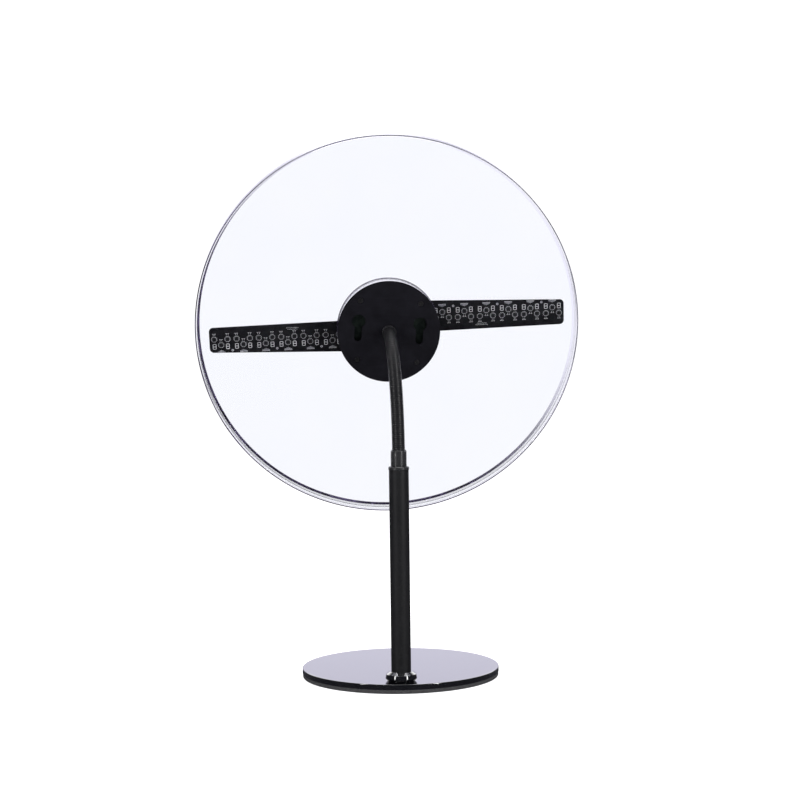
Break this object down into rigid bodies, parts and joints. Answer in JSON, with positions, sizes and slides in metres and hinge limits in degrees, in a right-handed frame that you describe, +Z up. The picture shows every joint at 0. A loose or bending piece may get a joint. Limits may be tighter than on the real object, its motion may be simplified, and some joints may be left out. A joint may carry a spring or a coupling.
{
  "type": "hologram fan display",
  "caption": "LED blade hologram fan spinning inside a clear round cover, held by a gooseneck on a desk stand with a round base.",
  "frame": {"origin": "centre of the base underside", "axes": "+Z up, display faces -Y, pole and hub rear face toward +Y"},
  "size_m": [0.4508, 0.234, 0.6372],
  "materials": {
    "gloss_black": "gloss",
    "pad_grey": "matte",
    "satin_black": "satin",
    "matte_black": "matte",
    "hose_black": "satin",
    "dark_steel": "satin",
    "clear_acrylic": "polished",
    "board_black": "matte",
    "board_green": "matte",
    "led_white": "gloss",
    "steel": "brushed",
    "aluminium": "satin",
    "copper": "enamelled",
    "ferrite": "matte",
    "lead_black": "matte"
  },
  "bodies": {
    "stand": {"base_pad": "pad_grey", "base_plate": "gloss_black", "pole_flange": "gloss_black", "pole_tube": "satin_black", "pole_plug": "steel", "pole_lead": "lead_black", "base_washer": "steel", "base_screw": "steel", "pole_collar": "satin_black", "neck_ferrule": "dark_steel", "dc_inlet": "matte_black", "button_housing": "matte_black", "hose_link_0": "hose_black"},
    "power_button": {"power_button": "satin_black"},
    "neck_link_1": {"hose_link_1": "hose_black"},
    "neck_link_2": {"hose_link_2": "hose_black"},
    "neck_link_3": {"hose_link_3": "hose_black"},
    "neck_link_4": {"hose_link_4": "hose_black"},
    "neck_link_5": {"hose_link_5": "hose_black"},
    "head": {"hose_link_6": "hose_black", "hub_rear_plate": "matte_black", "hub_tray": "matte_black", "control_board": "board_green", "hub_connector": "dark_steel", "connector_nut": "steel", "rear_cover": "clear_acrylic", "rear_cover_rim": "clear_acrylic", "rear_cover_neck": "clear_acrylic", "rear_cover_flange": "clear_acrylic", "front_cover": "clear_acrylic", "front_cover_rim": "clear_acrylic", "bearing_tube": "aluminium", "bearing_rear": "steel", "bearing_front": "steel", "stator_core": "dark_steel", "stator_coils": "copper", "power_coil_fixed": "copper", "hub_screw_1": "dark_steel", "hub_screw_2": "dark_steel", "hub_screw_3": "dark_steel", "hub_screw_4": "dark_steel"},
    "rotor": {"motor_shaft": "steel", "shaft_clip": "steel", "rotor_cup": "dark_steel", "magnet_ring": "ferrite", "power_coil_turning": "copper", "blade_carrier": "matte_black", "blade_1": "board_black", "blade_2": "board_black", "led_row_1": "led_white", "led_row_2": "led_white", "rotor_cap": "matte_black", "driver_board": "board_green", "cap_screw_1": "steel", "cap_screw_2": "steel", "cap_screw_3": "steel", "cap_screw_4": "steel"}
  },
  "joints": [
    {"name": "neck_tilt_1", "type": "hinge", "parent": "stand", "child": "neck_link_1", "pos_m": [0.00016, 0.09385, 0.287], "axis": [0.9999, -0.0001, -0.0132], "range_deg": [-20, 8]},
    {"name": "neck_sway_1", "type": "hinge", "parent": "neck_link_1", "child": "neck_link_2", "pos_m": [0.00065, 0.09391, 0.31099], "axis": [0, 1, 0.0051], "range_deg": [-12, 12]},
    {"name": "neck_tilt_2", "type": "hinge", "parent": "neck_link_2", "child": "neck_link_3", "pos_m": [0.00155, 0.09334, 0.33497], "axis": [0.9989, 0.0024, -0.0469], "range_deg": [-20, 8]},
    {"name": "neck_sway_2", "type": "hinge", "parent": "neck_link_3", "child": "neck_link_4", "pos_m": [0.00295, 0.09089, 0.35879], "axis": [0, 0.9849, 0.1729], "range_deg": [-12, 12]},
    {"name": "neck_tilt_3", "type": "hinge", "parent": "neck_link_4", "child": "neck_link_5", "pos_m": [0.00496, 0.08368, 0.38149], "axis": [0.9955, 0.0443, -0.0839], "range_deg": [-20, 8]},
    {"name": "neck_sway_3", "type": "hinge", "parent": "neck_link_5", "child": "head", "pos_m": [0.00723, 0.06774, 0.39891], "axis": [0, 0.5394, 0.842], "range_deg": [-12, 12]},
    {"name": "rotor_spin", "type": "hinge", "parent": "head", "child": "rotor", "pos_m": [0.00908, 0.0425, 0.40838], "axis": [-0.0539, 0.9725, -0.2267], "continuous": true},
    {"name": "button_press", "type": "slide", "parent": "stand", "child": "power_button", "axis": [0, 1, 0], "range_m": [0, 0.0012], "stiffness_N_per_m": 600, "springref_m": -0.002}
  ],
  "couplings": [
    {"joint": "neck_tilt_2", "follows": "neck_tilt_1", "ratio": 1},
    {"joint": "neck_sway_2", "follows": "neck_sway_1", "ratio": 1},
    {"joint": "neck_tilt_3", "follows": "neck_tilt_1", "ratio": 1},
    {"joint": "neck_sway_3", "follows": "neck_sway_1", "ratio": 1}
  ]
}
